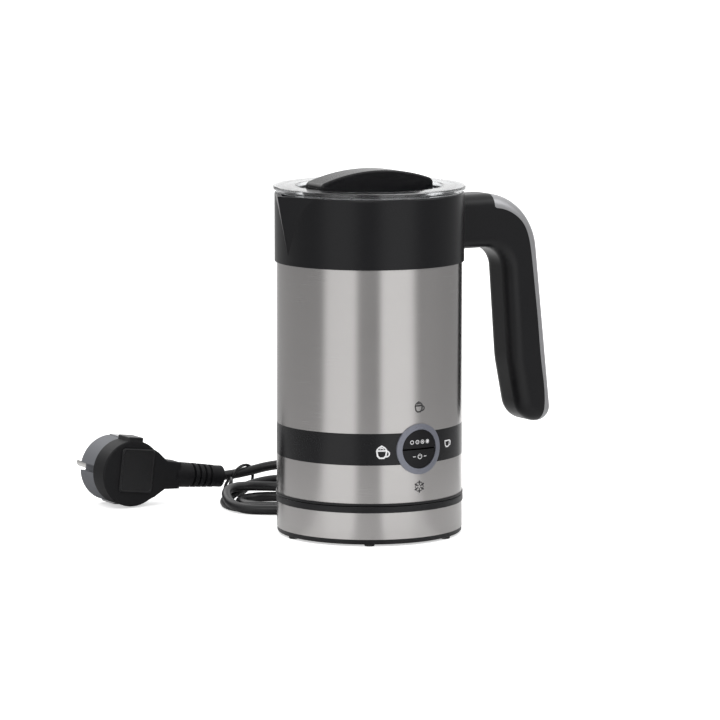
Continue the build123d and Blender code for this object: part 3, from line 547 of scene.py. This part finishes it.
ink_black = finish("ink_black", (0.012, 0.012, 0.013), 0.5)
ink_white = finish("ink_white", (0.72, 0.72, 0.73), 0.5)
cup = line([(-2.6, 0.8), (-2.2, -1.5), (-1.3, -2.4), (0.5, -2.4), (1.4, -1.5), (1.8, 0.8)], 0.7, True)
ear = line(arc(1.75, -0.6, 1.2, -95, 80), 0.6)
froth = line([(-2.4, 1.3), (-1.7, 2.1), (-0.4, 2.9), (0.9, 2.1), (1.6, 1.3)], 0.6)
froth += line([(-1.2, 1.6), (-0.4, 2.1), (0.4, 1.6)], 0.5)
snow = []
for step in range(6):
    turn = math.radians(60 * step + 30)
    tip = (2.9 * math.cos(turn), 2.9 * math.sin(turn))
    fork = (1.9 * math.cos(turn), 1.9 * math.sin(turn))
    snow += line([(0.9 * math.cos(turn), 0.9 * math.sin(turn)), tip], 0.6)
    snow += dot(*tip, 0.5)
    for side in (-0.42, 0.42):
        snow += line([fork, (2.7 * math.cos(turn + side), 2.7 * math.sin(turn + side))], 0.45)
power_sign = line(arc(0, 0, 1.2, 125, 415, 14), 0.36) + line([(0, 0.3), (0, 1.5)], 0.36)
power_sign += line([(-4.1, 0), (-2.6, 0)], 0.36) + line([(2.6, 0), (4.1, 0)], 0.36)
choices = []
for step in range(4):
    choices += line(arc(step * 3.2 - 4.8, 0, 0.95, 0, 330, 11), 0.34, True)
    if step:
        choices += dot(step * 3.2 - 4.8, 0, 0.2 * step)
sleeve_radius = 0.0500
cap_radius = 0.0505
hot_froth = cup + ear + froth
printed("mark_hot_froth", hot_froth, sleeve_radius, -90, 0.0738, 1.02, ink_black, "jug")
printed("mark_cold", snow, sleeve_radius, -90, 0.0312, 0.98, ink_black, "jug")
printed("mark_thick_froth", hot_froth, sleeve_radius, -114, 0.0505, 1.22, ink_white, "jug")
printed("mark_hot_milk", cup + ear, sleeve_radius, -65.5, 0.0530, 1.0, ink_white, "jug")
printed(
    "legend_function", choices, cap_radius, -90, 0.0553, 1.0, ink_white, "function_button"
)
printed("legend_power", power_sign, cap_radius, -90, 0.0475, 1.0, ink_white, "power_button")

# ---- Controls inside
# The lacquered circuit board that stands behind the buttons, with the switches that they
# press, the lamps that light their marks and the small parts soldered round them.
board_green = finish("board_lacquer", (0.03, 0.16, 0.07), 0.3, grain=300.0, shade=0.2)
part_blue = finish("part_bodies", (0.06, 0.10, 0.22), 0.35, grain=300.0, shade=0.3)
lens_white = finish("lamp_lens", (0.82, 0.84, 0.87), 0.2, shade=0.03, more={"Transmission Weight": 0.4})
natural = finish("natural_moulding", (0.72, 0.72, 0.70), 0.45, shade=0.04)
dress(board_green, "circuit_board")
dress(gloss, "push_switches")
dress(lens_white, "indicator_lamps")
dress(part_blue, "board_components")

# ---- Motor
# A small plated motor under the pot, hung from a moulded bracket, with a carrier of
# magnets on its shaft.
plated = finish("motor_plating", (0.50, 0.50, 0.50), 0.3, 1.0, grain=500.0, shade=0.08)
magnet = finish("magnet_plating", (0.46, 0.46, 0.48), 0.2, 1.0, shade=0.06)
dress(plated, "motor_can", "rotor_shaft", "motor_bearings")
dress(natural, "motor_end_cap", "motor_bracket", "magnet_carrier")
dress(magnet, "drive_magnets", "whisk_magnets")

# ---- Milk pot
# A drawn stainless pot, satin inside, with the heating ring and its sensors clamped
# under its floor and an axle for the whisk pressed up in the middle.
pot_steel = brushed("pot_steel", (0.62, 0.61, 0.60), 0.34, 0.5)
silicone = finish("silicone", (0.33, 0.34, 0.35), 0.6, grain=700.0, shade=0.05)
dress(pot_steel, "milk_pot", "whisk_axle")
dress(plated, "heater_ring", "thermal_fuse", "temperature_sensor")
dress(silicone, "pot_seal", "lid_gasket")
dress(black, "pot_retainer")

pot_radius = 0.0429
levels = line([(-6, 35), (6, 35)], 0.8) + line([(-6, 0), (6, 0)], 0.8) + line([(-3, 17), (3, 17)], 0.6)
printed("level_marks", levels, pot_radius, 60, 0.1050, 1.0, ink_black, "jug")

# ---- Whisk
# A moulded black hub that sits on the axle and holds magnets of its own, with a ring of
# coiled stainless spring wire held round it.
coils, points_per_coil = 46, 10
ring_radius, coil_radius, ring_height = 0.0179, 0.0015, 0.0761
wire_points = []
for step in range(coils * points_per_coil):
    round_ring = 2 * math.pi * step / (coils * points_per_coil)
    round_wire = 2 * math.pi * step / points_per_coil
    reach = ring_radius + coil_radius * math.cos(round_wire)
    height = ring_height + coil_radius * math.sin(round_wire)
    wire_points.append((reach * math.cos(round_ring), reach * math.sin(round_ring), height))
wire_curve = bpy.data.curves.new("whisk_spring", "CURVE")
wire_curve.dimensions = "3D"
wire_curve.bevel_depth = 0.00042
wire_curve.bevel_resolution = 1
wire = wire_curve.splines.new("POLY")
wire.points.add(len(wire_points) - 1)
for point, place in zip(wire.points, wire_points):
    point.co = (*place, 1)
wire.use_cyclic_u = True
spring_steel = finish("spring_steel", (0.60, 0.59, 0.58), 0.2, 1.0, shade=0.05)
spring = stand(bpy.data.objects.new("whisk_spring", wire_curve), spring_steel, "whisk")
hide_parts("whisk_coil")
dress(black, "whisk_hub")

# ---- Collar
# One satin black moulding with the pouring beak drawn out of its front. It clips over
# the top of the upper sleeve and holds the pot.
collar_black = finish("collar_black", (0.006, 0.006, 0.007), 0.30, grain=1500.0, sheen=0.24)
dress(collar_black, "collar")

# ---- Handle
# A black core screwed to the collar, rounded on the side that the fingers meet, with a
# silver lacquered strip let in along its back.
handle_black = finish("handle_black", (0.007, 0.007, 0.008), 0.34, grain=1500.0, sheen=0.26)
inlay = finish("silver_lacquer", (0.36, 0.36, 0.37), 0.34, 0.55, grain=1500.0, shade=0.04)
dress(handle_black, "handle_core")
dress(inlay, "handle_inlay")
dress(zinc, "handle_screws")

# ---- Lid
# A clear moulded disc with a well in it, a black insert under the well and an arched
# black grip across it, held by two screws from below.
clear_more = {"Transmission Weight": 1.0, "IOR": 1.49}
clear = finish("clear_lid", (0.95, 0.96, 0.97), 0.05, shade=0.01, more=clear_more)
grip_black = finish("grip_black", (0.005, 0.005, 0.006), 0.26, grain=1500.0, sheen=0.22)
dress(clear, "lid_disc")
dress(grip_black, "lid_grip", "lid_insert")
dress(zinc, "lid_screws")
